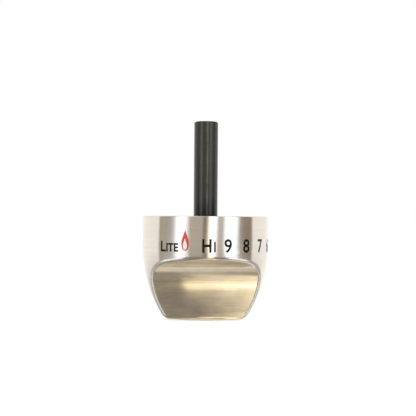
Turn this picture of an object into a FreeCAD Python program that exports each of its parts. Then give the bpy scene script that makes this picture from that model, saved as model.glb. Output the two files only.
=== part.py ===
import FreeCAD, Part
import Sketcher
import math
import os
import re

# A burner control knob for a gas range, with its long stem.
#
# The knob stands on its front face with the stem upwards. +Z runs along the stem, the origin is
# the lowest point of the domed front face, and the two finger scoops face -Y and +Y, so that the
# grip between them runs along X. Lengths are in millimetres and angles in degrees.
#
# It is made of three pieces:
#   knob_shell   the die-cast bowl with its grip, cored out from behind, with a boss and four ribs
#   stem         the black moulded stem, seated in the boss, with a D-shaped socket in its free end
#   shaft_clip   the bowed steel strip in that socket, which presses on the flat of the valve shaft
#
# The two scoops take the most care. Each is a profile cut right through the bowl along X, so its
# outline on the bowl is a free curve, and every edge along that curve is rounded. The hollow behind
# has the same two scoops, one wall thickness further in.

SIZES = [
    ("rim_radius", 25.0, "outside radius of the bowl at its rim"),
    ("knob_height", 41.0, "rim to the lowest point of the front face"),
    ("skirt_straight", 12.0, "straight part of the skirt below the rim"),
    ("bowl_curve", 50.0, "radius of the bowl's side below the straight part"),
    ("front_dome", 147.0, "radius of the domed front face"),
    ("rim_edge", 0.3, "chamfer on the rim's two edges"),
    ("grip_thickness", 10.8, "grip across the scoops, at the front face"),
    ("scoop_lean", 6.0, "angle between the scoop and the axis, at the front face"),
    ("scoop_low_curve", 46.0, "radius of the long lower part of the scoop"),
    ("scoop_join", 17.2, "height at which the scoop's two arcs meet"),
    ("scoop_top_curve", 12.0, "radius of the tight upper part of the scoop"),
    ("scoop_lip", 76.0, "angle between the scoop's straight lip and the axis"),
    ("edge_round", 1.5, "rounding of the edges between the scoops and the bowl"),
    ("front_edge", 0.9, "chamfer round the front face"),
    ("wall", 2.0, "thickness of the bowl's and the scoops' walls"),
    ("front_wall", 2.8, "thickness of the front face, at the axis"),
    ("hollow_bend", 24.5, "height at which the hollow begins to narrow"),
    ("hollow_waist", 12.0, "height at which the hollow begins to narrow faster"),
    ("boss_radius", 7.0, "outside radius of the boss that holds the stem"),
    ("boss_drop", 14.0, "boss below the rim"),
    ("rib_thickness", 1.6, "thickness of the ribs between the boss and the wall"),
    ("rib_drop", 17.0, "ribs below the rim"),
    ("rib_turn", 45.0, "angle from +X to the first rib"),
    ("rib_count", 4, "ribs round the boss"),
    ("seat_height", 9.0, "seat of the stem above the front face"),
    ("pilot_radius", 3.0, "radius of the cored hole below the seat"),
    ("pilot_depth", 5.4, "depth of the cored hole below the seat"),
    ("stem_radius", 4.75, "outside radius of the stem"),
    ("stem_reach", 37.5, "stem above the rim"),
    ("stem_edge", 0.45, "chamfer on the stem's free end"),
    ("shoulder_gap", 0.6, "gap between the boss and the stem's shoulder"),
    ("root_radius", 4.3, "radius of the stem's root, which fills the boss"),
    ("root_gap", 0.05, "gap all round between the root and the boss"),
    ("collar_depth", 4.0, "depth of the seat's round part, above the keyed part"),
    ("key_flat", 3.5, "axis to the flat on the root"),
    ("root_bore", 2.4, "radius of the blind hole in the root"),
    ("root_bore_depth", 24.0, "depth of the blind hole in the root"),
    ("shaft_radius", 3.175, "radius of the valve shaft that goes into the socket"),
    ("shaft_flat", 1.825, "axis to the flat of the valve shaft"),
    ("shaft_gap", 0.075, "gap between the valve shaft and the socket"),
    ("socket_depth", 25.0, "depth of the socket"),
    ("socket_lead", 0.5, "lead-in at the mouth of the socket"),
    ("clip_thickness", 0.35, "thickness of the clip's strip"),
    ("clip_width", 4.0, "width of the clip's strip"),
    ("clip_gap", 0.1, "gap at each side of the clip"),
    ("clip_slot", 1.1, "depth of the clip's slot behind the socket's flat"),
    ("clip_slot_length", 17.0, "length of the clip's slot from the stem's free end"),
    ("clip_foot", 1.6, "length of the clip's straight ends"),
    ("clip_bend", 9.0, "radius of the clip's bends"),
    ("clip_bow", 1.05, "height of the clip's bow"),
    ("overrun", 3.0, "distance that a cut runs past what it cuts"),
]

# Points and axes as a sketch's constraints number them.
START, END, CENTRE = 1, 2, 3
ORIGIN = (-1, 1)

# How near two lengths in millimetres, two volumes and two directions are when they count as equal.
SAME_LENGTH = 1e-4
SAME_VOLUME = 1e-3
SAME_DIRECTION = 1e-6

doc = FreeCAD.newDocument("burner_knob")


def make_sheet():
    """Puts the driving dimensions into one spreadsheet, one row each."""
    table = doc.addObject("Spreadsheet::Sheet", "Sizes")
    for row, (alias, number, meaning) in enumerate(SIZES, start=1):
        table.set(f"A{row}", meaning)
        table.set(f"B{row}", str(number))
        table.setAlias(f"B{row}", alias)
    doc.recompute()
    return table


sheet = make_sheet()
ALIASES = {alias for alias, number, meaning in SIZES}


def bound(text):
    """A formula of size names, written as an expression on the sheet's cells."""
    return re.sub(r"[a-z_]+", lambda word: ("Sizes." if word[0] in ALIASES else "") + word[0], text)


def value(text):
    """The present value of a formula of size names."""
    return float(sheet.evalExpression(bound(text)))


def new_body(name):
    body = doc.addObject("PartDesign::Body", name)
    body.Label = name
    return body


def origin_item(body, role):
    """One of the body's own origin planes or axes."""
    return [item for item in body.Origin.OriginFeatures if item.Role == role][0]


def new_sketch(body, name, plane, height="0", turn="0"):
    """A sketch on an origin plane of its body, lifted and turned by two formulas."""
    sketch = body.newObject("Sketcher::SketchObject", name)
    sketch.AttachmentSupport = [(origin_item(body, plane), "")]
    sketch.MapMode = "FlatFace"
    sketch.setExpression(".AttachmentOffset.Base.z", bound(f"({height}) * 1 mm"))
    sketch.setExpression(".AttachmentOffset.Rotation.Angle", bound(f"({turn}) * 1 deg"))
    return sketch


def dimension(sketch, kind, where, text):
    """Adds a driving dimension to a sketch and ties it to the sheet."""
    number = value(text)
    if kind == "Angle":
        number = math.radians(number)
    index = sketch.addConstraint(Sketcher.Constraint(kind, *where, number))
    unit = "deg" if kind == "Angle" else "mm"
    sketch.setExpression(f"Constraints[{index}]", bound(f"({text}) * 1 {unit}"))


def place(sketch, item, end, across, along):
    """Ties a point to two formulas, both measured from the sketch's origin."""
    dimension(sketch, "DistanceX", (*ORIGIN, item, end), across)
    dimension(sketch, "DistanceY", (*ORIGIN, item, end), along)


def line(sketch, start, end):
    return sketch.addGeometry(Part.LineSegment(FreeCAD.Vector(*start, 0), FreeCAD.Vector(*end, 0)))


def arc(sketch, centre, radius, first, last):
    """An arc drawn anticlockwise between two directions in degrees."""
    circle = Part.Circle(FreeCAD.Vector(*centre, 0), FreeCAD.Vector(0, 0, 1), radius)
    return sketch.addGeometry(Part.ArcOfCircle(circle, math.radians(first), math.radians(last)))


def join(sketch, *corners):
    """Joins the ends of lines and arcs. Each corner is (first, its end, second, its end)."""
    for corner in corners:
        sketch.addConstraint(Sketcher.Constraint("Coincident", *corner))


def blend(sketch, *corners):
    """Joins ends as join does, with the two lines tangent there."""
    for corner in corners:
        sketch.addConstraint(Sketcher.Constraint("Tangent", *corner))


def level(sketch, *lines):
    for item in lines:
        sketch.addConstraint(Sketcher.Constraint("Horizontal", item))


def upright(sketch, *lines):
    for item in lines:
        sketch.addConstraint(Sketcher.Constraint("Vertical", item))


def corner_sketch(body, name, plane, corners):
    """A closed outline of straight sides, each corner tied to two formulas."""
    sketch = new_sketch(body, name, plane)
    points = [(value(across), value(along)) for across, along in corners]
    sides = [line(sketch, point, points[(i + 1) % len(points)]) for i, point in enumerate(points)]
    join(sketch, *[(side, END, sides[(i + 1) % len(sides)], START) for i, side in enumerate(sides)])
    for side, (across, along) in zip(sides, corners):
        place(sketch, side, START, across, along)
    return sketch


def circle_sketch(body, name, height, radius):
    """A circle round the axis, on a plane across it."""
    sketch = new_sketch(body, name, "XY_Plane", height)
    ring = sketch.addGeometry(Part.Circle(FreeCAD.Vector(0, 0, 0), FreeCAD.Vector(0, 0, 1), value(radius)))
    join(sketch, (ring, CENTRE, *ORIGIN))
    dimension(sketch, "Radius", (ring,), radius)
    return sketch


def flatted_sketch(body, name, height, radius, flat):
    """A circle round the axis with a flat on its +Y side, on a plane across the axis."""
    sketch = new_sketch(body, name, "XY_Plane", height)
    reach = math.degrees(math.asin(value(flat) / value(radius)))
    half = value(radius) * math.cos(math.radians(reach))
    ring = arc(sketch, (0, 0), value(radius), 180 - reach, 360 + reach)
    chord = line(sketch, (half, value(flat)), (-half, value(flat)))
    join(sketch, (ring, END, chord, START), (chord, END, ring, START), (ring, CENTRE, *ORIGIN))
    level(sketch, chord)
    dimension(sketch, "Radius", (ring,), radius)
    dimension(sketch, "DistanceY", (*ORIGIN, chord, START), flat)
    return sketch


def rectangle_sketch(body, name, left, right, low, high, plane="XY_Plane", height="0", turn="0"):
    """A rectangle between four formulas."""
    sketch = new_sketch(body, name, plane, height, turn)
    corners = [(value(x), value(y)) for x, y in ((left, low), (right, low), (right, high), (left, high))]
    sides = [line(sketch, corners[i], corners[(i + 1) % 4]) for i in range(4)]
    join(sketch, *[(sides[i], END, sides[(i + 1) % 4], START) for i in range(4)])
    level(sketch, sides[0], sides[2])
    upright(sketch, sides[1], sides[3])
    place(sketch, sides[0], START, left, low)
    place(sketch, sides[2], START, right, high)
    return sketch


def pad(body, name, sketch, length):
    feature = body.newObject("PartDesign::Pad", name)
    feature.Profile = sketch
    feature.setExpression("Length", bound(f"({length}) * 1 mm"))
    doc.recompute()


def revolve(body, name, sketch):
    """Turns a section once round the axis."""
    feature = body.newObject("PartDesign::Revolution", name)
    feature.Profile = sketch
    feature.ReferenceAxis = (sketch, ["V_Axis"])
    feature.Angle = 360
    doc.recompute()


def revolve_away(body, name, sketch, axis, angle):
    """Takes away what a section sweeps about an axis of its sketch, half the angle to each side."""
    before = body.Shape.Volume
    feature = body.newObject("PartDesign::Groove", name)
    feature.Profile = sketch
    feature.ReferenceAxis = (sketch, [axis])
    feature.Midplane = True
    feature.setExpression("Angle", bound(f"({angle}) * 1 deg"))
    doc.recompute()
    check_smaller(body, name, before)


def cut(body, name, sketch, depth, up=False, both_ways=False):
    """A pocket of the given depth, downwards unless told otherwise. It has to take metal away."""
    before = body.Shape.Volume
    feature = body.newObject("PartDesign::Pocket", name)
    feature.Profile = sketch
    feature.Type = "Length"
    feature.Reversed = up
    feature.SideType = "Symmetric" if both_ways else "One side"
    feature.setExpression("Length", bound(f"({depth}) * 1 mm"))
    doc.recompute()
    check_smaller(body, name, before)
    return feature


def check_smaller(body, name, before):
    if not body.Shape.Volume < before - SAME_VOLUME:
        raise RuntimeError(f"{name} takes nothing away from {body.Label}")


def treat_edges(body, name, kind, wanted, size):
    """Rounds or chamfers the edges of the body that a test picks out, by a size or radius."""
    base = body.Tip
    edges = enumerate(base.Shape.Edges, start=1)
    names = [f"Edge{i}" for i, edge in edges if not edge.Degenerated and wanted(edge)]
    feature = body.newObject(f"PartDesign::{kind}", name)
    feature.Base = (base, names)
    feature.setExpression("Radius" if kind == "Fillet" else "Size", bound(f"({size}) * 1 mm"))
    doc.recompute()
    if not names or feature.Shape.isNull():
        raise RuntimeError(f"{name} could not be made")


def middle(edge):
    return edge.valueAt((edge.FirstParameter + edge.LastParameter) / 2)


def is_straight(edge):
    return edge.Curve.TypeId == "Part::GeomLine"


def is_meridian(edge):
    """True for a seam that runs down the bowl in the plane y = 0."""
    points = [edge.valueAt(edge.FirstParameter), edge.valueAt(edge.LastParameter), middle(edge)]
    heights = [point.z for point in points]
    in_plane = all(abs(point.y) < SAME_LENGTH for point in points)
    return in_plane and max(heights) - min(heights) > SAME_LENGTH


def is_level_circle(edge, height):
    """True for a circle round the axis at the given height."""
    if edge.Curve.TypeId != "Part::GeomCircle":
        return False
    upright_axis = abs(abs(edge.Curve.Axis.z) - 1) < SAME_DIRECTION
    return upright_axis and abs(edge.Curve.Center.z - height) < SAME_LENGTH


def circle_at(height):
    """The test for circles round the axis at the height that a formula gives."""
    return lambda edge: is_level_circle(edge, value(height))


def bowl_section(body):
    """Half of the bowl's section: flat front, curved side and straight skirt, from the axis up."""
    sketch = new_sketch(body, "bowl_section", "XZ_Plane")
    side_centre = ("rim_radius - bowl_curve", "knob_height - skirt_straight")
    rim, top, curve = value("rim_radius"), value("knob_height"), value("bowl_curve")
    centre = tuple(value(text) for text in side_centre)
    turned = math.asin(centre[1] / curve)
    low = (centre[0] + curve * math.cos(turned), 0)
    front = line(sketch, (0, 0), low)
    side = arc(sketch, centre, curve, -math.degrees(turned), 0)
    skirt = line(sketch, (rim, centre[1]), (rim, top))
    lid = line(sketch, (rim, top), (0, top))
    axis = line(sketch, (0, top), (0, 0))
    join(sketch, (front, END, side, START), (skirt, END, lid, START))
    join(sketch, (lid, END, axis, START), (axis, END, front, START), (front, START, *ORIGIN))
    blend(sketch, (side, END, skirt, START))
    upright(sketch, skirt, axis)
    level(sketch, lid, front)
    place(sketch, side, CENTRE, *side_centre)
    dimension(sketch, "Radius", (side,), "bowl_curve")
    dimension(sketch, "DistanceY", (*ORIGIN, lid, END), "knob_height")
    return sketch


def dome_front(body):
    """Domes the front face. What is below the dome turns about a level axis through its centre."""
    sketch = new_sketch(body, "dome_section", "XZ_Plane")
    half = "rim_radius + overrun"
    reach, low, radius = value(half), -value("overrun"), value("front_dome")
    rise = radius - math.sqrt(radius ** 2 - reach ** 2)
    swing = math.degrees(math.asin(reach / radius))
    curve = arc(sketch, (0, radius), radius, 270 - swing, 270 + swing)
    right = line(sketch, (reach, rise), (reach, low))
    below = line(sketch, (reach, low), (-reach, low))
    left = line(sketch, (-reach, low), (-reach, rise))
    axis = line(sketch, (-reach, radius), (reach, radius))
    sketch.toggleConstruction(axis)
    join(sketch, (curve, END, right, START), (right, END, below, START))
    join(sketch, (below, END, left, START), (left, END, curve, START))
    level(sketch, axis)
    place(sketch, curve, CENTRE, "0", "front_dome")
    dimension(sketch, "Radius", (curve,), "front_dome")
    upright(sketch, left, right)
    place(sketch, below, START, half, "-overrun")
    place(sketch, below, END, f"-({half})", "-overrun")
    place(sketch, axis, START, f"-({half})", "front_dome")
    dimension(sketch, "DistanceX", (*ORIGIN, axis, END), half)
    revolve_away(body, "dome", sketch, "Axis0", f"2 * asin(({half}) / front_dome) / 1 deg")


def scoop_section(body, name, inset):
    """What a scoop takes away, seen along X, drawn behind the scoop's face by the formula in inset.

    From the front face up: a straight start, the long arc, the tight arc and the straight lip.
    """
    sketch = new_sketch(body, name, "YZ_Plane")
    foot = (f"grip_thickness / 2 - ({inset}) * cos(scoop_lean)", f"({inset}) * sin(scoop_lean)")
    low_radius = f"scoop_low_curve + ({inset})"
    top_radius = f"scoop_top_curve + ({inset})"
    join_slope = "scoop_join / scoop_low_curve + sin(scoop_lean)"
    join_height = f"scoop_join + ({inset}) * ({join_slope})"
    reach = "rim_radius + overrun"
    lean, lip = value("scoop_lean"), value("scoop_lip")
    bend = math.degrees(math.asin(value(join_slope)))

    def beside(point, distance, angle):
        """A point at a distance outwards, square to a face that leans by an angle."""
        radians = math.radians(angle)
        return (point[0] + distance * math.cos(radians), point[1] - distance * math.sin(radians))

    start = tuple(value(text) for text in foot)
    low_centre = beside(start, value(low_radius), lean)
    meeting = beside(low_centre, -value(low_radius), bend)
    top_centre = beside(meeting, value(top_radius), bend)
    lip_start = beside(top_centre, -value(top_radius), lip)
    rise = (value(reach) - lip_start[0]) / math.tan(math.radians(lip))
    lip_end = (value(reach), lip_start[1] + rise)
    drop = value("overrun")
    low_end = (start[0] - drop * math.tan(math.radians(lean)), -drop)

    straight = line(sketch, low_end, start)
    low = arc(sketch, low_centre, value(low_radius), 180 - bend, 180 - lean)
    tight = arc(sketch, top_centre, value(top_radius), 180 - lip, 180 - bend)
    lip_line = line(sketch, lip_start, lip_end)
    outside = line(sketch, lip_end, (value(reach), -drop))
    below = line(sketch, (value(reach), -drop), low_end)
    blend(sketch, (straight, END, low, END), (low, START, tight, END), (tight, START, lip_line, START))
    join(sketch, (lip_line, END, outside, START), (outside, END, below, START))
    join(sketch, (below, END, straight, START))
    upright(sketch, outside)
    level(sketch, below)
    place(sketch, straight, END, *foot)
    place(sketch, outside, END, reach, "-overrun")
    dimension(sketch, "Radius", (low,), low_radius)
    dimension(sketch, "Radius", (tight,), top_radius)
    dimension(sketch, "DistanceY", (*ORIGIN, low, START), join_height)
    dimension(sketch, "Angle", (straight,), "90 - scoop_lean")
    dimension(sketch, "Angle", (lip_line,), "90 - scoop_lip")
    return sketch


def cut_scoops(body, inset):
    """Cuts the two scoops, one on each side of the grip."""
    section = scoop_section(body, f"{body.Label}_scoop_section", inset)
    first = cut(body, f"{body.Label}_scoop", section, "2 * (rim_radius + overrun)", both_ways=True)
    before = body.Shape.Volume
    second = body.newObject("PartDesign::Mirrored", f"{body.Label}_scoops")
    second.Originals = [first]
    second.MirrorPlane = (origin_item(body, "XZ_Plane"), [""])
    body.Tip = second
    doc.recompute()
    check_smaller(body, second.Label, before)


def is_on_front(body, edge):
    """True for an edge of the domed front face."""
    faces = body.Tip.Shape.Faces
    domes = [face for face in faces if face.Surface.TypeId == "Part::GeomSphere"]
    return any(edge.isSame(other) for face in domes for other in face.Edges)


def is_scoop_edge(body, edge):
    """True for the edges between a scoop and the bowl's side."""
    if is_straight(edge) or is_meridian(edge) or is_on_front(body, edge):
        return False
    levels = ("knob_height", "knob_height - skirt_straight")
    return not any(is_level_circle(edge, value(height)) for height in levels)


def make_core():
    """The hollow behind the shell, as the die's core forms it: round the boss and the ribs."""
    body = new_body("core")

    def inside(height):
        """The radius one wall inside the bowl's curved side, at a height."""
        rise = f"(knob_height - skirt_straight - {height})"
        return f"rim_radius - bowl_curve + sqrt((bowl_curve - wall)^2 - {rise}^2)"

    top = "knob_height + overrun"
    corners = [("0", "front_wall"), (inside("front_wall"), "front_wall"),
               (inside("hollow_waist"), "hollow_waist"), ("rim_radius - wall", "hollow_bend"),
               ("rim_radius - wall", top), ("0", top)]
    revolve(body, "core_turned", corner_sketch(body, "core_section", "XZ_Plane", corners))
    cut_scoops(body, "wall")

    boss = circle_sketch(body, "boss_outline", "0", "boss_radius")
    cut(body, "boss_space", boss, "knob_height - boss_drop", up=True)
    rib = rectangle_sketch(body, "rib_outline", "0", "rim_radius", "-rib_thickness / 2",
                           "rib_thickness / 2", turn="rib_turn")
    first = cut(body, "rib_space", rib, "knob_height - rib_drop", up=True)
    before = body.Shape.Volume
    ribs = body.newObject("PartDesign::PolarPattern", "rib_spaces")
    ribs.Originals = [first]
    ribs.Axis = (origin_item(body, "Z_Axis"), [""])
    ribs.Angle = 360
    ribs.setExpression("Occurrences", bound("rib_count"))
    body.Tip = ribs
    doc.recompute()
    check_smaller(body, ribs.Label, before)
    return body


def make_knob_shell():
    """The die-cast bowl: turned form, two scoops, rounded grip, hollow back and the stem's seat."""
    body = new_body("knob_shell")
    revolve(body, "bowl", bowl_section(body))
    dome_front(body)
    cut_scoops(body, "0")
    treat_edges(body, "scoops_rounded", "Fillet", lambda edge: is_scoop_edge(body, edge), "edge_round")
    treat_edges(body, "front_chamfered", "Chamfer", lambda edge: is_on_front(body, edge), "front_edge")

    core = make_core()
    before = body.Shape.Volume
    hollow = body.newObject("PartDesign::Boolean", "hollow")
    hollow.Type = "Cut"
    hollow.setObjects([core])
    body.Tip = hollow
    doc.recompute()
    check_smaller(body, hollow.Label, before)
    treat_edges(body, "rim_chamfered", "Chamfer", circle_at("knob_height"), "rim_edge")

    boss_top = "knob_height - boss_drop"
    key_top = f"{boss_top} - collar_depth"
    collar = circle_sketch(body, "seat_collar", boss_top, "root_radius + root_gap")
    cut(body, "seat_round_part", collar, "collar_depth")
    key = flatted_sketch(body, "seat_key", key_top, "root_radius + root_gap", "key_flat + root_gap")
    cut(body, "seat_keyed_part", key, f"{key_top} - seat_height")
    pilot = circle_sketch(body, "pilot", "seat_height", "pilot_radius")
    cut(body, "pilot_hole", pilot, "pilot_depth")
    return body


def make_stem():
    """The moulded stem: a plain round bar, a keyed root below its shoulder and a D-shaped socket."""
    body = new_body("stem")
    shoulder = "knob_height - boss_drop + shoulder_gap"
    stem_top = "knob_height + stem_reach"
    root = circle_sketch(body, "root_outline", "seat_height", "root_radius")
    pad(body, "root", root, f"{shoulder} - seat_height")
    bar = circle_sketch(body, "bar_outline", shoulder, "stem_radius")
    pad(body, "bar", bar, f"{stem_top} - ({shoulder})")
    treat_edges(body, "end_chamfered", "Chamfer", circle_at(stem_top), "stem_edge")

    flat = rectangle_sketch(body, "key_outline", "-stem_radius", "stem_radius", "key_flat",
                            "stem_radius + overrun", height="seat_height")
    cut(body, "key", flat, "knob_height - boss_drop - collar_depth - seat_height", up=True)
    bore = circle_sketch(body, "root_bore_outline", "seat_height", "root_bore")
    cut(body, "root_hole", bore, "root_bore_depth", up=True)

    narrow = "shaft_radius + shaft_gap"
    deep = "shaft_flat + shaft_gap"
    cut(body, "socket", flatted_sketch(body, "socket_outline", stem_top, narrow, deep), "socket_depth")
    half_slot = "clip_width / 2 + clip_gap"
    slot = rectangle_sketch(body, "clip_slot_outline", f"-({half_slot})", half_slot,
                            "0", f"{deep} + clip_slot", height=stem_top)
    cut(body, "clip_slot", slot, "clip_slot_length")
    corners = [("0", f"{stem_top} - socket_lead"), (narrow, f"{stem_top} - socket_lead"),
               (f"{narrow} + socket_lead", stem_top), ("0", stem_top)]
    lead = corner_sketch(body, "lead_section", "XZ_Plane", corners)
    revolve_away(body, "socket_lead_in", lead, "V_Axis", "360")
    return body


def make_shaft_clip():
    """The clip: a narrow strip with straight ends and a bow between them, swept along its bends."""
    body = new_body("shaft_clip")
    back = "shaft_flat + shaft_gap + clip_slot - clip_thickness / 2"
    bottom = "knob_height + stem_reach - clip_slot_length"
    x, z = value(back), value(bottom)
    foot, bend = value("clip_foot"), value("clip_bend")
    swing = math.degrees(math.acos(1 - value("clip_bow") / (2 * bend)))
    across, along = 2 * bend * math.cos(math.radians(swing)), 2 * bend * math.sin(math.radians(swing))

    path = new_sketch(body, "clip_path", "YZ_Plane")
    first = line(path, (x, z), (x, z + foot))
    away = arc(path, (x - bend, z + foot), bend, 0, swing)
    crest = arc(path, (x - bend + across, z + foot + along), bend, 180 - swing, 180 + swing)
    back_again = arc(path, (x - bend, z + foot + 2 * along), bend, -swing, 0)
    last = line(path, (x, z + foot + 2 * along), (x, z + 2 * foot + 2 * along))
    blend(path, (first, END, away, START), (away, END, crest, END))
    blend(path, (crest, START, back_again, START), (back_again, END, last, START))
    upright(path, first, last)
    place(path, first, START, back, bottom)
    dimension(path, "Distance", (first,), "clip_foot")
    path.addConstraint(Sketcher.Constraint("Equal", first, last))
    dimension(path, "DistanceX", (*ORIGIN, last, START), back)
    dimension(path, "Radius", (away,), "clip_bend")
    path.addConstraint(Sketcher.Constraint("Equal", away, crest))
    path.addConstraint(Sketcher.Constraint("Equal", away, back_again))
    dimension(path, "DistanceX", (away, CENTRE, crest, CENTRE), "2 * clip_bend - clip_bow")

    strip = rectangle_sketch(body, "strip_section", "-clip_width / 2", "clip_width / 2",
                             f"{back} - clip_thickness / 2", f"{back} + clip_thickness / 2", height=bottom)
    sweep = body.newObject("PartDesign::AdditivePipe", "strip")
    sweep.Profile = strip
    sweep.Spine = (path, [f"Edge{i + 1}" for i in range(path.GeometryCount)])
    doc.recompute()
    return body


def check_and_write(bodies):
    """Stops on any failed object or bad shape, and writes one file for each piece."""
    for item in doc.Objects:
        if {"Invalid", "Error"} & set(item.State):
            raise RuntimeError(f"{item.Label} failed: {item.State}")
    for body in bodies:
        shape = body.Shape
        if shape.isNull() or not shape.isValid() or len(shape.Solids) != 1:
            raise RuntimeError(f"{body.Label} is not one valid solid")
    os.makedirs("parts", exist_ok=True)
    for body in bodies:
        body.Shape.exportStep(f"parts/{body.Label}.step")
        box = body.Shape.optimalBoundingBox()
        print(f"{body.Label}: {body.Shape.Volume:.1f} mm3, z {box.ZMin:.3f} to {box.ZMax:.3f}")


pieces = [make_knob_shell(), make_stem(), make_shaft_clip()]
doc.recompute()
check_and_write(pieces)
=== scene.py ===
import math

import bpy
from mathutils import Matrix, Vector


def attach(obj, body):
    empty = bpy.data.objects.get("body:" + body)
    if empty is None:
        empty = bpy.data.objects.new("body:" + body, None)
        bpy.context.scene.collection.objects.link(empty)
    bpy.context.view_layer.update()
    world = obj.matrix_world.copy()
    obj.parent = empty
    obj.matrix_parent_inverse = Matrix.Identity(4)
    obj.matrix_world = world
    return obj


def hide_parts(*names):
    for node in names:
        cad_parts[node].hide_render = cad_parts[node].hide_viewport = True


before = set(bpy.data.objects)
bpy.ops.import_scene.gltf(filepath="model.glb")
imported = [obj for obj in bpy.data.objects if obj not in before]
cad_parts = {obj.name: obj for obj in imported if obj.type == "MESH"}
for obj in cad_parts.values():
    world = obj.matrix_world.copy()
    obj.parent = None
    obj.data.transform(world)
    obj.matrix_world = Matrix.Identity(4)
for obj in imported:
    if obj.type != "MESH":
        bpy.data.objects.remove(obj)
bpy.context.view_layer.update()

# The shell: one zinc die casting, with the bowl, its skirt, two finger scoops and the grip between
# them. It is brushed to look like stainless steel, round the skirt on a lathe and along the grip on
# the scoops and the front. The hollow behind the rim stays as cast.
MM = 0.001
SHARP_EDGE = math.radians(50)
SAME_POINT = 0.001 * MM
BOWL_CURVE_CENTRE = (-25.0 * MM, 29.0 * MM)
BOWL_SURFACE = 49.0 * MM
RIM_START = 40.2 * MM
LEANS_DOWN = -0.02
SCRATCHES_ALONG = 30
SCRATCHES_ACROSS = 1300
SCRATCH_DEPTH = 0.01 * MM
SCRATCH_STRENGTH = 0.1
SWELL_SCALE = (45, 700, 700)
CAST_GREY = (0.42, 0.42, 0.42, 1)
CAST_GRAIN_SCALE = (1500, 1500, 1500)
CAST_GRAIN_DEPTH = 0.05 * MM
CAST_GRAIN_STRENGTH = 0.4
CAST_ROUGHNESS = (0.42, 0.6)
NOISE_USUAL_RANGE = (0.3, 0.7)


def select_only(piece):
    """Makes a piece the only selected one, and the active one."""
    bpy.ops.object.select_all(action="DESELECT")
    piece.select_set(True)
    bpy.context.view_layer.objects.active = piece


def merged_copy(node, name):
    """A copy of a node with its triangles merged and its broad faces smooth up to sharp edges."""
    select_only(bpy.data.objects[node])
    bpy.ops.object.duplicate()
    piece = bpy.context.object
    piece.name = name
    piece.data.name = name
    piece.data.materials.clear()
    bpy.ops.object.mode_set(mode="EDIT")
    bpy.ops.mesh.select_all(action="SELECT")
    bpy.ops.mesh.customdata_custom_splitnormals_clear()
    bpy.ops.mesh.remove_doubles(threshold=SAME_POINT)
    bpy.ops.object.mode_set(mode="OBJECT")
    bpy.ops.object.shade_smooth_by_angle(angle=SHARP_EDGE)
    weighting = piece.modifiers.new("broad_faces_lead", "WEIGHTED_NORMAL")
    weighting.keep_sharp = True
    bpy.ops.object.modifier_apply(modifier=weighting.name)
    return piece


def new_material(name, **settings):
    """A material with one Principled shader, its plain values set on its own sockets."""
    material = bpy.data.materials.new(name)
    material.use_nodes = True
    shader = material.node_tree.nodes["Principled BSDF"]
    for socket, setting in settings.items():
        shader.inputs[socket.replace("_", " ")].default_value = setting
    return material, shader


def add_node(tree, kind, inputs, **settings):
    """Adds a node: its settings, then its inputs, each a plain value or a socket to link."""
    node = tree.nodes.new(kind)
    for name, setting in settings.items():
        setattr(node, name, setting)
    for name, given in inputs.items():
        if isinstance(given, bpy.types.NodeSocket):
            tree.links.new(given, node.inputs[name])
        else:
            node.inputs[name].default_value = given
    return node


def object_point(tree):
    """The place on the object, in metres."""
    return add_node(tree, "ShaderNodeTexCoord", {}).outputs["Object"]


def between(tree, value, start, end, low=0.0, high=1.0):
    """Turns start to end into low to high, and stays at those beyond them."""
    inputs = {"Value": value, "From Min": start, "From Max": end, "To Min": low, "To Max": high}
    return add_node(tree, "ShaderNodeMapRange", inputs).outputs["Result"]


def times(tree, first, second):
    """One number times another."""
    return add_node(tree, "ShaderNodeMath", {0: first, 1: second}, operation="MULTIPLY").outputs[0]


def scaled(tree, colour, share):
    """A colour times a number."""
    inputs = {0: colour, "Scale": share}
    return add_node(tree, "ShaderNodeVectorMath", inputs, operation="SCALE").outputs["Vector"]


def joined(tree, how, first, second):
    """Two colours or directions joined by one operation."""
    inputs = {0: first, 1: second}
    return add_node(tree, "ShaderNodeVectorMath", inputs, operation=how).outputs["Vector"]


def noise(tree, where, stretch, detail=2.0, roughness=0.5):
    """Noise between 0 and 1, with its scale given for each axis."""
    stretched = add_node(tree, "ShaderNodeMapping", {"Vector": where, "Scale": stretch})
    inputs = {"Vector": stretched.outputs["Vector"], "Scale": 1.0, "Detail": detail,
              "Roughness": roughness}
    return add_node(tree, "ShaderNodeTexNoise", inputs).outputs["Fac"]


def spread(tree, value, low, high):
    """Turns the range that noise mostly keeps to into low to high."""
    return between(tree, value, *NOISE_USUAL_RANGE, low, high)


def bump(tree, height, strength, depth, **more):
    """The surface's direction over a fine relief, with its depth in metres."""
    inputs = {"Height": height, "Strength": strength, "Distance": depth, **more}
    return add_node(tree, "ShaderNodeBump", inputs).outputs["Normal"]


def along_grip(tree):
    """The scratches' direction on the scoops and the front: along the grip, which lies in X."""
    return add_node(tree, "ShaderNodeCombineXYZ", {"X": 1.0}).outputs["Vector"]


def round_skirt(tree):
    """The scratches' direction on the turned faces: round the Z axis."""
    axis = add_node(tree, "ShaderNodeCombineXYZ", {"Z": 1.0}).outputs["Vector"]
    return joined(tree, "CROSS_PRODUCT", axis, object_point(tree))


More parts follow.
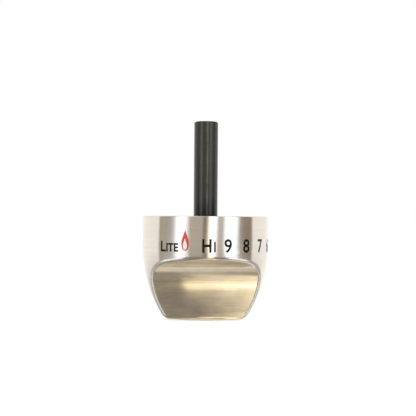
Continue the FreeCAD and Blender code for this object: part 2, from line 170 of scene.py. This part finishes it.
def brushed_metal(name, along, tint, scratch_scale, contrast, cloud_scale, cloudiness, waves,
                  polish):
    """Brushed metal, with its scratches along a direction and soft clouds in its shade and polish.

    Waves is the height of its swell, and polish its roughness from the brightest to the dullest."""
    material, shader = new_material(name, Metallic=1.0, Anisotropic=1.0)
    tree = material.node_tree
    where = object_point(tree)
    scratches = noise(tree, where, scratch_scale, detail=4.0, roughness=0.7)
    clouds = noise(tree, where, cloud_scale, detail=3.0)
    shade = times(tree, spread(tree, scratches, 1 - contrast, 1 + contrast),
                  spread(tree, clouds, 1 - cloudiness, 1 + cloudiness))
    tree.links.new(scaled(tree, tint, shade), shader.inputs["Base Color"])
    tree.links.new(spread(tree, clouds, *polish), shader.inputs["Roughness"])
    facing = add_node(tree, "ShaderNodeNewGeometry", {}).outputs["Normal"]
    across = joined(tree, "CROSS_PRODUCT", facing, along(tree))
    tree.links.new(across, shader.inputs["Tangent"])
    wavy = bump(tree, noise(tree, where, SWELL_SCALE), 1.0, waves)
    scratched = bump(tree, scratches, SCRATCH_STRENGTH, SCRATCH_DEPTH, Normal=wavy)
    tree.links.new(scratched, shader.inputs["Normal"])
    return material


def on_bowl(face):
    """True for a face of the bowl's turned outside."""
    radius = math.hypot(face.center.x, face.center.y)
    centre_radius, centre_height = BOWL_CURVE_CENTRE
    drop = centre_height - min(face.center.z, centre_height)
    return math.hypot(radius - centre_radius, drop) > BOWL_SURFACE


shell = merged_copy("knob_shell", "brushed_shell")
turned_metal = brushed_metal(
    "brushed_round", round_skirt, tint=(0.74, 0.71, 0.66),
    scratch_scale=(SCRATCHES_ALONG, SCRATCHES_ALONG, SCRATCHES_ACROSS), contrast=0.04,
    cloud_scale=(60, 60, 300), cloudiness=0.02, waves=0.0, polish=(0.17, 0.2))
ground_metal = brushed_metal(
    "brushed_along_grip", along_grip, tint=(0.74, 0.69, 0.59),
    scratch_scale=(SCRATCHES_ALONG, SCRATCHES_ACROSS, SCRATCHES_ACROSS), contrast=0.07,
    cloud_scale=(100, 150, 200), cloudiness=0.12, waves=0.012 * MM, polish=(0.065, 0.09))
cast_metal, cast_shader = new_material("cast_zinc", Metallic=1.0, Base_Color=CAST_GREY)
cast_tree = cast_metal.node_tree
grain = noise(cast_tree, object_point(cast_tree), CAST_GRAIN_SCALE, detail=4.0)
cast_tree.links.new(spread(cast_tree, grain, *CAST_ROUGHNESS), cast_shader.inputs["Roughness"])
cast_tree.links.new(bump(cast_tree, grain, CAST_GRAIN_STRENGTH, CAST_GRAIN_DEPTH),
                    cast_shader.inputs["Normal"])
for material in (turned_metal, ground_metal, cast_metal):
    shell.data.materials.append(material)
TURNED, GROUND, CAST = range(3)
for face in shell.data.polygons:
    if on_bowl(face) or face.center.z > RIM_START:
        face.material_index = TURNED
    elif face.normal.z < LEANS_DOWN:
        face.material_index = GROUND
    else:
        face.material_index = CAST
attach(shell, "root")
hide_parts("knob_shell")

# The control marks: the plain words, numbers and flame that any such dial has, printed on the skirt
# in black, red and white ink and read with the stem upwards. Each is a thin film of ink, made flat
# and then wrapped round the skirt.
SKIRT_RADIUS = 25.0 * MM
INK_THICKNESS = 0.015 * MM
INK_STEP = 0.35 * MM
INK_MOTTLE_SCALE = (2500, 2500, 2500)
INK_SHADES = (0.8, 1.25)
STILL_FLAT = math.radians(0.5)
UPRIGHT = (math.radians(90), 0, 0)
CAPITAL_SHARE = 0.72
LETTER_RESOLUTION = 6
DIGIT_STEP = 18.4


def ink(name, colour):
    """Printing ink, with a fine mottle."""
    material, shader = new_material(name, Roughness=0.3, Specular_IOR_Level=0.2)
    tree = material.node_tree
    mottle = noise(tree, object_point(tree), INK_MOTTLE_SCALE, detail=3.0)
    tint = scaled(tree, colour, spread(tree, mottle, *INK_SHADES))
    tree.links.new(tint, shader.inputs["Base Color"])
    return material


def wrap_on_skirt(piece, angle):
    """Cuts a flat mark into strips, bends it to the skirt's radius and turns it to its angle."""
    xs = [vertex.co.x for vertex in piece.data.vertices]
    low, high = min(xs), max(xs)
    select_only(piece)
    bpy.ops.object.mode_set(mode="EDIT")
    bpy.ops.mesh.select_all(action="SELECT")
    bpy.ops.mesh.remove_doubles(threshold=SAME_POINT)
    bpy.ops.mesh.dissolve_limited(angle_limit=STILL_FLAT)
    for i in range(1, int((high - low) / INK_STEP) + 1):
        bpy.ops.mesh.select_all(action="SELECT")
        bpy.ops.mesh.bisect(plane_co=(low + i * INK_STEP, 0, 0), plane_no=(1, 0, 0))
    bpy.ops.mesh.select_all(action="SELECT")
    bpy.ops.mesh.dissolve_degenerate(threshold=SAME_POINT)
    bpy.ops.mesh.normals_make_consistent(inside=False)
    bpy.ops.object.mode_set(mode="OBJECT")
    for vertex in piece.data.vertices:
        turn = angle + vertex.co.x / SKIRT_RADIUS
        radius = SKIRT_RADIUS - vertex.co.y
        vertex.co = (radius * math.sin(turn), -radius * math.cos(turn), vertex.co.z)


def print_mark(piece, angle, material):
    """Turns a flat curve or text into ink on the skirt, at an angle in degrees from the front."""
    bpy.ops.object.convert(target="MESH")
    bpy.ops.object.transform_apply(location=True, rotation=True, scale=True)
    wrap_on_skirt(piece, math.radians(angle))
    piece.data.materials.clear()
    piece.data.materials.append(material)
    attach(piece, "root")


def word(name, text, height, squeeze, bolder, angle, shift, base):
    """A printed word. Height, bolder, shift and base are in millimetres."""
    bpy.ops.object.select_all(action="DESELECT")
    bpy.ops.object.text_add(rotation=UPRIGHT)
    piece = bpy.context.object
    piece.name = name
    piece.data.body = text
    piece.data.align_x = "CENTER"
    piece.data.size = height * MM / CAPITAL_SHARE
    piece.data.extrude = INK_THICKNESS
    piece.data.offset = bolder * MM
    piece.data.resolution_u = LETTER_RESOLUTION
    piece.scale.x = squeeze
    piece.location = (shift * MM, 0, base * MM)
    print_mark(piece, angle, black_ink)


black_ink = ink("black_ink", (0.003, 0.003, 0.003))
word("mark_H", "H", 5.0, squeeze=0.8, bolder=0.2, angle=0, shift=-0.22, base=27.4)
word("mark_I", "I", 4.0, squeeze=0.85, bolder=0.1, angle=0, shift=2.8, base=27.45)
for i, digit in enumerate("98765432"):
    word(f"mark_{digit}", digit, 5.1, squeeze=0.93, bolder=0.12, angle=DIGIT_STEP * (i + 1),
         shift=0, base=27.35)
word("mark_LO", "LO", 3.98, squeeze=0.95, bolder=0.12, angle=DIGIT_STEP * 9, shift=0, base=27.4)
word("mark_OFF", "OFF", 3.98, squeeze=0.95, bolder=0.12, angle=-95, shift=0, base=27.57)
word("mark_L", "L", 3.98, squeeze=0.95, bolder=0.15, angle=-35.5, shift=-2.88, base=27.57)
word("mark_ITE", "ITE", 3.15, squeeze=0.93, bolder=0.14, angle=-35.5, shift=1.35, base=27.57)

FLAME_HEIGHT = 8.0 * MM
FLAME_WIDTH = 2.6 * MM
FLAME_BASE = 27.8 * MM
FLAME_ANGLE = -19.7
FLAME_RESOLUTION = 16
POINT_LEAN = 0.08
POINT_LENGTH = 0.3
HEART_WIDTH = 0.52 * FLAME_WIDTH
HEART_HEIGHT = 0.54 * FLAME_HEIGHT
HEART_LIFT = 0.45 * MM
HEART_ANGLE = FLAME_ANGLE - 0.2


def flame(name, width, height, lift, angle, thickness, material):
    """A drop-shaped flame: a flat round curve with its top drawn out to a point."""
    bpy.ops.object.select_all(action="DESELECT")
    bpy.ops.curve.primitive_bezier_circle_add(radius=width / 2, location=(0, 0, 0))
    piece = bpy.context.object
    piece.name = name
    curve = piece.data
    curve.dimensions = "2D"
    curve.fill_mode = "BOTH"
    curve.extrude = thickness
    curve.resolution_u = FLAME_RESOLUTION
    for point in curve.splines[0].bezier_points:
        if point.co.y > width / 4:
            point.handle_left_type = "FREE"
            point.handle_right_type = "FREE"
            point.co.y = height - width / 2
            handle_height = point.co.y - POINT_LENGTH * height
            point.handle_left = (-POINT_LEAN * height, handle_height, 0)
            point.handle_right = (POINT_LEAN * height, handle_height, 0)
    piece.rotation_euler = UPRIGHT
    piece.location = (0, 0, FLAME_BASE + width / 2 + lift)
    print_mark(piece, angle, material)


red_ink = ink("red_ink", (0.6, 0.085, 0.07))
white_ink = ink("white_ink", (0.85, 0.85, 0.85))
flame("mark_flame", FLAME_WIDTH, FLAME_HEIGHT, 0, FLAME_ANGLE, INK_THICKNESS, red_ink)
flame("mark_flame_heart", HEART_WIDTH, HEART_HEIGHT, HEART_LIFT, HEART_ANGLE, 1.5 * INK_THICKNESS,
      white_ink)

# The stem: a plain round bar of glass-filled nylon, moulded black and half glossy. Its keyed root
# sits in the bowl's boss. The draw from the mould leaves faint lines along it. Two warm lines on
# its front are painted reflections, its foot, down in the bowl, has painted shade, and its colour
# darkens towards its outline as painted shade.
STEM_DIAMETER = 9.5
NYLON_BLACK = (0.032, 0.033, 0.0275)
DRAW_SCALE = (1500, 1500, 40)
DRAW_SHADES = (0.7, 1.4)
# Painted shade: the colour darkens towards the stem's outline, where it turns from the camera.
EDGE_START, EDGE_END, EDGE_PAINTED_SHADES = 0.25, 0.6, (1.0, 0.15)
# Painted shade: the colour darkens down towards the foot, which stands in the bowl.
FOOT_START, FOOT_END, FOOT_PAINTED_SHADES = 41 * MM, 49 * MM, (0.1, 1.0)
PAINTED_REFLECTION_BROWN = (0.045, 0.036, 0.023)
# Painted reflections: two warm streaks at fixed places across the stem's front.
PAINTED_REFLECTION_LINES = [(-2.4, 0), (-1.85, 0.6), (-1.3, 0), (-0.1, 0), (0.45, 1.7), (1.0, 0)]
REFLECTION_BREAK_SCALE = (100, 100, 250)
REFLECTION_BREAK_SHADES = (0.3, 1.3)


def colour_ramp(tree, factor, stops):
    """A colour ramp with its stops given as place and colour."""
    ramp = add_node(tree, "ShaderNodeValToRGB", {"Fac": factor})
    elements = ramp.color_ramp.elements
    elements.remove(elements[1])
    for i, (place, colour) in enumerate(stops):
        element = elements[0] if i == 0 else elements.new(place)
        element.position = place
        element.color = (*colour, 1)
    return ramp.outputs["Color"]


stem = merged_copy("stem", "black_stem")
stem_black, stem_shader = new_material("black_nylon", Roughness=0.17, IOR=1.42)
stem_tree = stem_black.node_tree
stem_point = object_point(stem_tree)
stem_place = add_node(stem_tree, "ShaderNodeSeparateXYZ", {"Vector": stem_point})
draw = noise(stem_tree, stem_point, DRAW_SCALE, detail=3.0)
# Painted shade towards the outline, from how far the surface turns away from the camera.
turned_away = add_node(stem_tree, "ShaderNodeLayerWeight", {"Blend": 0.5}).outputs["Facing"]
painted_edge_shade = between(stem_tree, turned_away, EDGE_START, EDGE_END, *EDGE_PAINTED_SHADES)
# Painted shade at the foot, from the bowl round it.
painted_foot_shade = between(stem_tree, stem_place.outputs["Z"], FOOT_START, FOOT_END, *FOOT_PAINTED_SHADES)
stem_shade = times(stem_tree, spread(stem_tree, draw, *DRAW_SHADES), painted_edge_shade)
stem_tint = scaled(stem_tree, NYLON_BLACK, times(stem_tree, stem_shade, painted_foot_shade))
stem_radius = STEM_DIAMETER / 2 * MM
span = between(stem_tree, stem_place.outputs["X"], -stem_radius, stem_radius)
# The painted reflections are added to the stem's base colour, broken up by noise.
painted_reflections = colour_ramp(stem_tree, span,
                    [(x / STEM_DIAMETER + 0.5, (tone, tone, tone)) for x, tone in PAINTED_REFLECTION_LINES])
reflection_breaks = noise(stem_tree, stem_point, REFLECTION_BREAK_SCALE, detail=3.0)
painted_reflection_share = times(stem_tree, spread(stem_tree, reflection_breaks, *REFLECTION_BREAK_SHADES), painted_foot_shade)
painted_reflection_tint = joined(stem_tree, "MULTIPLY", scaled(stem_tree, painted_reflections, painted_reflection_share), PAINTED_REFLECTION_BROWN)
stem_colour = joined(stem_tree, "ADD", stem_tint, painted_reflection_tint)
stem_tree.links.new(stem_colour, stem_shader.inputs["Base Color"])
stem.data.materials.append(stem_black)
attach(stem, "root")
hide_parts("stem")

# The clip in the stem's socket: a strip of bright spring steel, bowed to hold the valve shaft. It
# is rolled, so its grain runs along it. Its shape is the CAD node's own.
STEEL_GREY = (0.55, 0.55, 0.56, 1)
ROLLING_SCALE = (9000, 9000, 200)
ROLLED_ROUGHNESS = (0.2, 0.38)
clip = bpy.data.objects["shaft_clip"]
clip_steel, clip_shader = new_material("rolled_spring_steel", Metallic=1.0, Base_Color=STEEL_GREY)
clip_tree = clip_steel.node_tree
rolling = noise(clip_tree, object_point(clip_tree), ROLLING_SCALE, detail=3.0)
clip_roughness = spread(clip_tree, rolling, *ROLLED_ROUGHNESS)
clip_tree.links.new(clip_roughness, clip_shader.inputs["Roughness"])
clip.material_slots[0].material = clip_steel

# The table: a plain white board that the knob stands on. It shows white to the camera, keeps the
# knob's shadow, and stays out of the metal's reflections.
TABLE_SIZE = 12.0
TABLE_GLOW = 0.5
bpy.ops.object.select_all(action="DESELECT")
bpy.ops.mesh.primitive_plane_add(size=TABLE_SIZE)
table = bpy.context.object
table.name = "table"
table.visible_glossy = False
table_white, table_shader = new_material(
    "table_white", Base_Color=(0.9, 0.9, 0.9, 1), Roughness=0.9, Specular_IOR_Level=0.0,
    Emission_Color=(1, 1, 1, 1))
table.data.materials.append(table_white)
table_tree = table_white.node_tree
seen = add_node(table_tree, "ShaderNodeLightPath", {}).outputs["Is Camera Ray"]
glow = times(table_tree, seen, TABLE_GLOW)
table_tree.links.new(glow, table_shader.inputs["Emission Strength"])

# The studio: pale walls with white, grey, brown and golden cards, which the metal mirrors as bands.
# Each is given by its direction from the knob in degrees: round it, where 0 is towards the
# camera and more is to the right, and up from the horizon or, where it is negative, down from it.
CAMERA_SIDE = math.radians(2.0)
LIGHT_LEVEL = 1.8
BLACK = (0, 0, 0)
WHITE = (0.99, 1.02, 1.07)
PALE = (0.63, 0.605, 0.58)
BEIGE = (0.33, 0.298, 0.254)
GREY = (0.37, 0.348, 0.315)
SLATE = (0.26, 0.238, 0.21)
MIST = (0.36, 0.352, 0.345)
ASH = (0.27, 0.255, 0.24)
STONE = (0.25, 0.225, 0.185)
OLIVE = (0.23, 0.215, 0.17)
SAND = (0.3, 0.255, 0.175)
BROWN = (0.18, 0.136, 0.098)
DARK = (0.155, 0.138, 0.11)
GOLD = (0.46, 0.37, 0.245)

studio = bpy.data.worlds.new("studio")
bpy.context.scene.world = studio
studio.use_nodes = True
sky = studio.node_tree
direction = add_node(sky, "ShaderNodeTexCoord", {}).outputs["Generated"]
parts = add_node(sky, "ShaderNodeSeparateXYZ", {"Vector": direction})
to_camera = {"Vector": direction, "Rotation": (0, 0, math.radians(90) + CAMERA_SIDE)}
faced = add_node(sky, "ShaderNodeMapping", to_camera).outputs["Vector"]
radial = add_node(sky, "ShaderNodeTexGradient", {"Vector": faced}, gradient_type="RADIAL")
bearing = radial.outputs["Fac"]
arc = add_node(sky, "ShaderNodeMath", {0: parts.outputs["Z"]}, operation="ARCSINE")
elevation = arc.outputs[0]
level = between(sky, elevation, -math.pi / 2, math.pi / 2)
sideways = between(sky, parts.outputs["X"], -1.0, 1.0)


def bearing_place(angle):
    """The place of an angle round the knob on a colour ramp."""
    return (angle + 180) / 360


def bands(stops, where):
    """Colours by their angle round the knob."""
    return colour_ramp(sky, where, [(bearing_place(angle), colour) for angle, colour in stops])


def shares(stops):
    """Shares by their angle above the horizon."""
    return colour_ramp(sky, level, [((angle + 90) / 180, (v, v, v)) for angle, v in stops])


def strips(stops):
    """Colours by their direction's X, from left to right."""
    return colour_ramp(sky, sideways, [((x + 1) / 2, colour) for x, colour in stops])


def rising(start, end):
    """Goes from 0 to 1 between two angles above the horizon."""
    return between(sky, elevation, math.radians(start), math.radians(end))


def blend(share, first, second):
    """The first colour at a share of 0, and the second at 1."""
    inputs = {"Factor": share, "A": first, "B": second}
    return add_node(sky, "ShaderNodeMix", inputs, data_type="VECTOR").outputs[1]


# The walls and cards near the horizon. The skirt mirrors them.
AROUND = [(-180, BEIGE), (-168, PALE), (-95, PALE), (-90, OLIVE), (-83, SAND), (-76, STONE),
          (-68, ASH), (-61, MIST), (-51, WHITE), (-38.5, WHITE), (-28, BEIGE), (-6, BEIGE),
          (-3, DARK), (0, DARK), (4, GOLD), (8, WHITE), (18, WHITE), (24, GREY), (31, GREY),
          (38, WHITE), (55.5, WHITE), (66, SLATE), (75, BROWN), (91, BROWN), (97, PALE),
          (168, PALE)]
around = bands(AROUND, bearing)

# The floor of the studio, which the scoops mirror. Its upper bands lie a little further right.
SHADE = (0.165, 0.15, 0.13)
DUSK = (0.205, 0.18, 0.148)
DRAB = (0.27, 0.255, 0.235)
GLOW = (0.52, 0.45, 0.35)
CREAM = (0.5, 0.433, 0.337)
HONEY = (0.57, 0.492, 0.36)
BELOW = [(-180, GLOW), (-165, DUSK), (-138, DUSK), (-122, DRAB), (-60, DRAB), (-48, SHADE),
         (-2.1, SHADE), (-0.7, (0.225, 0.2, 0.165)), (0.7, (0.19, 0.17, 0.14)),
         (2.1, (0.16, 0.145, 0.125)), (3.6, (0.18, 0.158, 0.13)), (4.94, (0.365, 0.315, 0.25)),
         (6.35, CREAM), (7.8, CREAM), (9.2, HONEY), (14, HONEY), (18, SHADE), (48, SHADE),
         (60, DRAB), (122, DRAB), (135, PALE), (150, PALE), (165, GLOW)]
BELOW_RISE = (-8, -19)
LEAN_START, LEAN_END, LEAN = -36, -25, -0.9
lean = between(sky, elevation, math.radians(LEAN_START), math.radians(LEAN_END), 0.0, LEAN / 360)
leaning = add_node(sky, "ShaderNodeMath", {0: bearing, 1: lean}, operation="ADD").outputs[0]
below = bands(BELOW, leaning)

# Two lights added to the floor: a golden one further out, and a faint one close in.
OUTER_GOLD = (0.38, 0.328, 0.22)
OUTER = [(5.2, BLACK), (6.35, (0.02, 0.017, 0.013)), (7.8, (0.1, 0.087, 0.063)),
         (9.2, OUTER_GOLD), (14, OUTER_GOLD), (18, BLACK)]
OUTER_RISE = (-58, -50)
INNER_DIM = (0.02, 0.018, 0.014)
INNER_GOLD = (0.08, 0.07, 0.054)
INNER = [(-6, BLACK), (-2, INNER_DIM), (3.6, INNER_DIM), (4.94, (0.03, 0.026, 0.02)),
         (6.35, INNER_GOLD), (14, INNER_GOLD), (18, BLACK)]
INNER_RISE = (-54, -58)
outer_light = scaled(sky, bands(OUTER, bearing), rising(*OUTER_RISE))
inner_light = scaled(sky, bands(INNER, bearing), rising(*INNER_RISE))
floor = joined(sky, "ADD", joined(sky, "ADD", below, outer_light), inner_light)

# A golden card that makes the scoop's bright band, with a sharp left edge.
CARD_GOLD = (0.87, 0.765, 0.55)
CARD_CREAM = (0.95, 0.9, 0.74)
CARD = [(2.8, CARD_GOLD), (5.6, CARD_GOLD), (7.4, CARD_CREAM), (10, CARD_CREAM), (13, BLACK)]
CARD_EDGE = (3.1, 3.5)
CARD_EDGE_SHARES = (0.24, 1.07)
CARD_RISE = [(-68, 0.0), (-62, 0.31), (-56, 0.5), (-53, 1.0), (-49.2, 1.0), (-46, 0.36),
             (-43, 0.33), (-39, 0.24), (-35, 0.0)]
edge_start, edge_end = (bearing_place(angle) for angle in CARD_EDGE)
edge_share = between(sky, bearing, edge_start, edge_end, *CARD_EDGE_SHARES)
card = joined(sky, "MULTIPLY", scaled(sky, shares(CARD_RISE), edge_share), bands(CARD, bearing))

# White cards to both sides, which draw the outline of the scoop's rounded edges.
SIDES = [(-92, BLACK), (-86, WHITE), (-46, WHITE), (-37, BLACK), (38, BLACK), (48, WHITE),
         (86, WHITE), (92, BLACK)]
SIDES_RISE = [(-44, 0.0), (-40, 1.0), (-24, 1.0), (-19, 0.0)]
side_cards = joined(sky, "MULTIPLY", bands(SIDES, bearing), shares(SIDES_RISE))
low = joined(sky, "MAXIMUM", joined(sky, "MAXIMUM", floor, card), side_cards)
walls = blend(rising(*BELOW_RISE), around, low)

# Two strips that light the scoop's bottom edge: a golden one low in front, and a tan one low behind
# on the right, whose place is given by its direction's X and Y.
LIP_GOLD = (1.5, 1.3, 0.94)
LIP = [(3.5, BLACK), (4.94, (0.54, 0.465, 0.335)), (6.35, LIP_GOLD), (12, LIP_GOLD), (14, BLACK)]
LIP_RISE = [(-25.5, 0.0), (-22.8, 0.3), (-21, 0.75), (-19.5, 1.0), (-8, 1.0), (-5, 0.0)]
BACK_TAN = (0.5, 0.42, 0.3)
BACK_X, BACK_Y, BACK_RISE = (0.034, 0.040), (0.45, 0.52), (-8, -14)
lip = joined(sky, "MULTIPLY", bands(LIP, bearing), shares(LIP_RISE))
back_right = times(sky, between(sky, parts.outputs["X"], *BACK_X),
                  between(sky, parts.outputs["Y"], *BACK_Y))
back_strip = scaled(sky, BACK_TAN, times(sky, back_right, rising(*BACK_RISE)))
lit = joined(sky, "MAXIMUM", joined(sky, "MAXIMUM", walls, lip), back_strip)

# Straight down, where bands round the knob would meet in a point, strips run from front to back.
# Their place is their direction's X. One set lies in front of the knob and one behind it.
DEEP = (0.10, 0.09, 0.075)
UMBER = (0.19, 0.17, 0.142)
GOLDEN = (1.0, 0.84, 0.56)
UNDER_FRONT = [(-1, DRAB), (-0.3, DRAB), (-0.2, DEEP), (-0.02, DEEP), (-0.008, UMBER),
               (0.012, UMBER), (0.02, (0.35, 0.318, 0.272)), (0.03, (0.345, 0.313, 0.268)),
               (0.07, (0.26, 0.236, 0.203)), (0.085, (0.27, 0.24, 0.2)), (0.095, (0.6, 0.5, 0.35)),
               (0.125, (0.45, 0.375, 0.26)), (0.14, SHADE), (0.25, SHADE), (0.35, DRAB), (1, DRAB)]
UNDER_BACK = [(-1, DRAB), (-0.3, DRAB), (-0.2, DEEP), (-0.08, DUSK), (-0.03, (0.46, 0.426, 0.386)),
              (0.03, (0.44, 0.408, 0.369)), (0.07, (0.365, 0.339, 0.306)),
              (0.085, (0.345, 0.32, 0.29)), (0.095, GOLDEN), (0.125, GOLDEN), (0.14, DUSK),
              (0.25, DUSK), (0.35, DRAB), (1, DRAB)]
UNDER_RISE = (-65, -77)
BEHIND_START, BEHIND_FULL = -0.16, 0.0
behind = between(sky, parts.outputs["Y"], BEHIND_START, BEHIND_FULL)
under = blend(behind, strips(UNDER_FRONT), strips(UNDER_BACK))
mirrored = scaled(sky, blend(rising(*UNDER_RISE), lit, under), LIGHT_LEVEL)

# The camera sees plain white instead.
camera_sees = add_node(sky, "ShaderNodeLightPath", {}).outputs["Is Camera Ray"]
shown = blend(camera_sees, mirrored, (1, 1, 1))
sky.links.new(shown, sky.nodes["Background"].inputs["Color"])

# The camera: it stands level with the rim, a little to the left, as the photograph was taken. Its
# lens, distance and aim are given in pixels of the photograph, each PIXEL long at the knob.
PIXEL = 0.3968 * MM
FRAME_PIXELS = 416
LENS_PIXELS = 1200
HORIZON_PIXELS = 14
AXIS_PIXELS = 2.4
CAMERA_HEIGHT = 38.76 * MM
CAMERA_ROLL = math.radians(0.43)
SENSOR_WIDTH = 36.0
camera_data = bpy.data.cameras.new("camera")
camera = bpy.data.objects.new("camera", camera_data)
bpy.context.scene.collection.objects.link(camera)
camera_data.sensor_fit = "HORIZONTAL"
camera_data.sensor_width = SENSOR_WIDTH
camera_data.lens = SENSOR_WIDTH * LENS_PIXELS / FRAME_PIXELS
view_direction = Vector((math.sin(CAMERA_SIDE), math.cos(CAMERA_SIDE), 0))
view_right = Vector((math.cos(CAMERA_SIDE), -math.sin(CAMERA_SIDE), 0))
place = (-view_direction * LENS_PIXELS * PIXEL + Vector((0, 0, CAMERA_HEIGHT))
         + view_right * AXIS_PIXELS * PIXEL)
pitch = math.atan(HORIZON_PIXELS / LENS_PIXELS)
heading = Matrix.Rotation(-CAMERA_SIDE, 4, "Z")
aim = Matrix.Rotation(math.radians(90) + pitch, 4, "X")
roll = Matrix.Rotation(CAMERA_ROLL, 4, "Z")
camera.matrix_world = Matrix.Translation(place) @ heading @ aim @ roll
bpy.context.scene.camera = camera
bpy.context.scene.view_settings.view_transform = "Standard"
